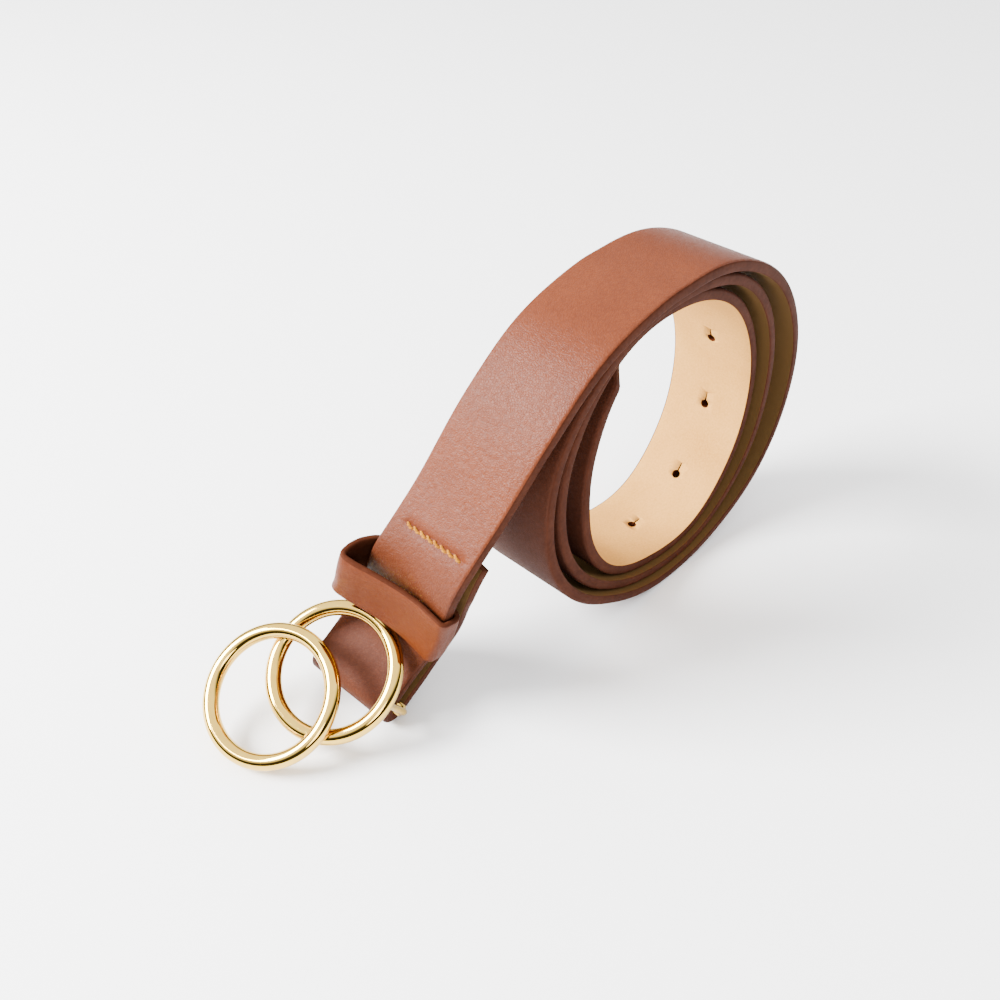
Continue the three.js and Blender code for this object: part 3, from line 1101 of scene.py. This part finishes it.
class Keeper(Piece):
    """Leather band that stands off the strap at its back edge."""

    LOOP_SAMPLES = 160

    def _loop(self) -> Array:
        """Inner line as a smooth closed loop of (across, off the grain)."""
        z, strap = self.size, self.line.strap
        under = strap.thick + 2 * z.play
        knots = []
        for across, past, off in z.points:
            height = off * (z.rise if off >= 0 else under) + z.play
            knots.append((across * strap.width + past * z.bulge, height, 0.0))
        n = len(knots)
        u = np.linspace(0, 1, self.LOOP_SAMPLES // n, endpoint=False)
        quads = [np.array([knots[(i + k - 1) % n] for k in range(4)]) for i in range(n)]
        return np.vstack([curve_span(quad, u)[:, :2] for quad in quads])

    def build(self) -> None:
        """Make the band."""
        z = self.size
        loop = self._loop()
        d = unit(np.roll(loop, -1, 0) - np.roll(loop, 1, 0))
        out = np.column_stack([-d[:, 1], d[:, 0]])
        if np.sum(out * (loop - loop.mean(0))) < 0:
            out = -out
        w, h, r, cut = z.width, z.thick, z.corner, z.corner_cut
        outer = [(u, h) for u in np.linspace(r, w - r, 9)]
        far = [(w - cut, h - cut), (w, h - r), (w, r), (w - cut, cut)]
        inner = [(u, 0.0) for u in np.linspace(w - r, r, 7)]
        near = [(cut, cut), (0.0, r), (0.0, h - r), (cut, h - cut)]
        section = outer + far + inner + near
        sides = ([Side.GRAIN] * (len(outer) - 1) + [Side.EDGE] * len(far) + [Side.LINING] * len(inner)
                 + [Side.EDGE] * (len(near) + 1))
        frames = [self.line.main.at(z.start + u) for u, _ in section]
        points = np.array([[p + b * (y + oy * depth) + n * (off + oh * depth)
                            for (_, depth), (p, _, b, n) in zip(section, frames)]
                           for (y, off), (oy, oh) in zip(loop, out)])
        slots = np.array([side.value for side in sides] * len(loop))
        self._make("keeper_band", points, grid_faces(len(loop), len(section), True), slots)

    def dress(self, shop: MaterialShop) -> None:
        """Give the band its finish."""
        f = shop.finishes
        mesh = self.piece.data
        for material in (shop.leather(f.keeper), shop.plain(f.edge), shop.plain(f.edge)):
            mesh.materials.append(material)
        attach(self.piece, Body.STRAP.value)
        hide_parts("keeper_loop")


class Buckle(Piece):
    """Two soldered rings on a bar."""

    RING_SAMPLES = 144
    RING_SIDES = 36
    BAR_SIDES = 20

    def build(self) -> None:
        """Make rings, arms and bar as one piece."""
        z = self.size
        bar, t0, b, n0 = self.line.bar()
        a = math.radians(z.swing)
        n = n0 * math.cos(a) + np.cross(b, n0) * math.sin(a)
        t = t0 * math.cos(a) + np.cross(b, t0) * math.sin(a)
        rear = bar + n * z.standoff + b * z.side - t * z.drop
        front = rear - t * z.offset + b * z.shift + n * (z.wire - z.lap)
        radius = (z.outer - z.wire) / 2
        q = np.linspace(0, 2 * math.pi, self.RING_SAMPLES + 1)[:-1, None]
        rim = radius * (b * np.cos(q) + np.cross(n, b) * np.sin(q))
        parts = [tube(c + rim, z.wire / 2, self.RING_SIDES, True, n) for c in (rear, front)]
        reach = self.line.strap.width / 2 + z.arm_gap + z.arm_radius
        for side in (-1, 1):
            end = bar + b * side * reach
            out = end - rear
            out -= n * (out @ n)
            root = rear + out / np.linalg.norm(out) * radius
            length = np.linalg.norm(end - root)
            k = np.linspace(0, length + z.arm_radius, 14)
            flare = z.arm_radius * (1 + z.flare * np.exp(-((k - z.wire / 2) / z.flare_reach) ** 2))
            parts.append(tube(root + (end - root) / length * k[:, None], flare, self.BAR_SIDES, False, b))
        k = np.linspace(-reach, reach, 8)[:, None]
        parts.append(tube(bar + b * k, self.line.fold.bar_radius, self.BAR_SIDES, False, n))
        self._make("ring_pair", *join(parts))

    def dress(self, shop: MaterialShop) -> None:
        """Give the rings their polish."""
        self.piece.data.materials.append(shop.plain(shop.finishes.gold))
        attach(self.piece, Body.BUCKLE.value)
        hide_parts("double_ring_buckle")


class Stitches(Piece):
    """One row of twisted thread across the strap."""

    SAMPLES = 15
    SIDES = 10

    def build(self) -> None:
        """Make the row of stitches."""
        z, w = self.size, self.line.strap.width
        k = np.linspace(0, 1, self.SAMPLES)
        lift = (z.sunk + z.thread * z.lift) * np.sin(math.pi * k) ** 0.5 - z.sunk
        lean = (k - 0.5) * z.lean
        _, t0, _, n0 = self.line.main.at(z.at)
        ends = np.linspace(z.first, z.last, z.count + 1) * w
        parts = []
        for start, end in zip(ends[:-1], ends[1:]):
            across = start + (end - start) * (k * (1 + 2 * z.overlap) - z.overlap)
            path = []
            for y, off, ahead in zip(across, lift, lean):
                p, _, b, n = self.line.main.at(z.at + z.skew * (y / w + 0.5) + ahead)
                path.append(p + b * y + n * off)
            for strand in (0, 1):
                a = (k * z.half_turns + strand)[:, None] * math.pi
                off = (t0 * np.cos(a) + n0 * np.sin(a)) * z.thread * z.strand_off
                parts.append(tube(np.array(path) + off, z.thread * z.strand, self.SIDES, False, n0))
        self._make("stitch_row", *join(parts))

    def dress(self, shop: MaterialShop) -> None:
        """Give the thread its finish."""
        self.piece.data.materials.append(shop.plain(shop.finishes.thread))
        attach(self.piece, Body.STRAP.value)


# Studio

@dataclass(frozen=True)
class CameraSize:
    """Where the photograph was taken from, in the strap line's own millimetres."""

    place: Triple = (-207.5, -122.7, 238.4)
    azimuth: float = 46.7
    elevation: float = 40.3
    roll: float = 0.2
    lens: float = 36.0
    sensor: float = 36.0


@dataclass(frozen=True)
class Lamp:
    """One soft box."""

    name: str
    place: Triple
    size: float
    power: float


@dataclass(frozen=True)
class StudioSize:
    """Lights, floor and surroundings: the sky fades to a dark band, higher up on the shaded side."""

    lamps: tuple[Lamp, ...] = (
        Lamp("key", (-0.80, 0.70, 0.80), 0.6, 100.0),
        Lamp("front", (-0.7, -0.8, 0.7), 0.4, 6.0),
    )
    aim: Triple = (0.0, 0.0, 0.05)
    floor: Triple = (0.98, 0.98, 0.985)
    floor_half: float = 12000.0
    floor_shade: float = 0.985
    floor_rough: float = 0.6
    sky: float = 3.0
    band: float = 0.06
    band_fade: Pair = (0.22, 0.55)
    shaded_side: Triple = (-0.64, -0.77, 0.0)
    shaded_rise: float = 0.4


class Studio:
    """Floor, lights, world and camera."""

    def __init__(self, size: StudioSize, camera: CameraSize, origin: Array) -> None:
        self.size, self.camera, self.origin = size, camera, origin

    def build(self) -> None:
        """Set up the studio."""
        self._floor()
        self._world()
        for lamp in self.size.lamps:
            light = bpy.data.lights.new(lamp.name, "AREA")
            light.energy, light.size = lamp.power, lamp.size
            box = put_in_scene(lamp.name, light)
            aim = Vector(self.size.aim) - Vector(lamp.place)
            turn = aim.to_track_quat("-Z", "Y").to_matrix().to_4x4()
            box.matrix_world = Matrix.Translation(lamp.place) @ turn
        self._camera()

    def _floor(self) -> None:
        z = self.size
        corners = np.array([(-1, -1, 0), (1, -1, 0), (1, 1, 0), (-1, 1, 0)])
        floor = new_object("floor", corners * z.floor_half, [(0, 1, 2, 3)])
        material = bpy.data.materials.new("floor_paper")
        material.use_nodes = True
        nodes = Nodes(material.node_tree)
        shader = material.node_tree.nodes["Principled BSDF"]
        at = nodes.add("ShaderNodeTexCoord").outputs["Object"]
        tone = nodes.mix(nodes.noise(at, 2.0), z.floor, tuple(c * z.floor_shade for c in z.floor))
        nodes.feed(shader.inputs["Base Color"], tone)
        shader.inputs["Roughness"].default_value = z.floor_rough
        floor.data.materials.append(material)

    def _world(self) -> None:
        z = self.size
        world = bpy.data.worlds.new("studio")
        world.use_nodes = True
        bpy.context.scene.world = world
        nodes = Nodes(world.node_tree)
        back = world.node_tree.nodes["Background"]
        at = nodes.add("ShaderNodeTexCoord").outputs["Generated"]
        height = nodes.add("ShaderNodeSeparateXYZ", Vector=at).outputs["Z"]
        near = nodes.add("ShaderNodeVectorMath", operation="DOT_PRODUCT", i0=at, i1=z.shaded_side)
        near = nodes.math("MAXIMUM", near.outputs["Value"], 0.0)
        height = nodes.math("SUBTRACT", height, nodes.math("MULTIPLY", near, z.shaded_rise))
        tone = nodes.mix(nodes.ramp(height, *z.band_fade), (z.band,) * 3, (z.sky,) * 3)
        nodes.feed(back.inputs["Color"], tone)
        back.inputs["Strength"].default_value = 1.0

    def _camera(self) -> None:
        c = self.camera
        az, el, roll = (math.radians(v) for v in (c.azimuth, c.elevation, c.roll))
        ahead = Vector((math.sin(az) * math.cos(el), math.cos(az) * math.cos(el), -math.sin(el)))
        right = Vector((math.cos(az), -math.sin(az), 0.0))
        down = ahead.cross(right)
        cos, sin = math.cos(roll), math.sin(roll)
        right, down = right * cos - down * sin, down * cos + right * sin
        data = bpy.data.cameras.new("photo_view")
        data.lens, data.sensor_width, data.sensor_fit = c.lens, c.sensor, "HORIZONTAL"
        data.clip_start = 0.005
        view = put_in_scene("photo_view", data)
        turn = Matrix((right, -down, -ahead)).transposed().to_4x4()
        view.matrix_world = Matrix.Translation(Vector(np.array(c.place) + self.origin) * MM) @ turn
        bpy.context.scene.camera = view


@dataclass(frozen=True)
class Belt:
    """The whole belt."""

    strap: StrapSize = StrapSize()
    coil: CoilSize = CoilSize()
    tail: TailSize = TailSize()
    fold: FoldSize = FoldSize()
    holes: HoleSize = HoleSize()
    keeper: KeeperSize = KeeperSize()
    rings: RingSize = RingSize()
    stitches: StitchSize = StitchSize()

    def build(self, shop: MaterialShop) -> StrapLine:
        """Make and dress every piece in order.

        Args:
            shop: Where materials come from.

        Returns:
            The strap's line.
        """
        line = StrapLine(self.strap, self.coil, self.tail, self.fold)
        strap = Strap(line, self.strap, self.holes, self.keeper, self.stitches)
        LOG.info("strap")
        strap.build()
        strap.punch()
        strap.dress(shop)
        for piece in (Keeper(line, self.keeper), Buckle(line, self.rings), Stitches(line, self.stitches)):
            LOG.info(type(piece).__name__)
            piece.build()
            piece.dress(shop)
        return line


def main() -> None:
    """Load the frame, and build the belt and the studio."""
    logging.basicConfig(level=logging.INFO, format="%(message)s")
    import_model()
    shop = MaterialShop(Finishes(), ShadeAndCreaseSize())
    line = Belt().build(shop)
    Studio(StudioSize(), CameraSize(), line.origin).build()


if __name__ == "__main__":
    main()
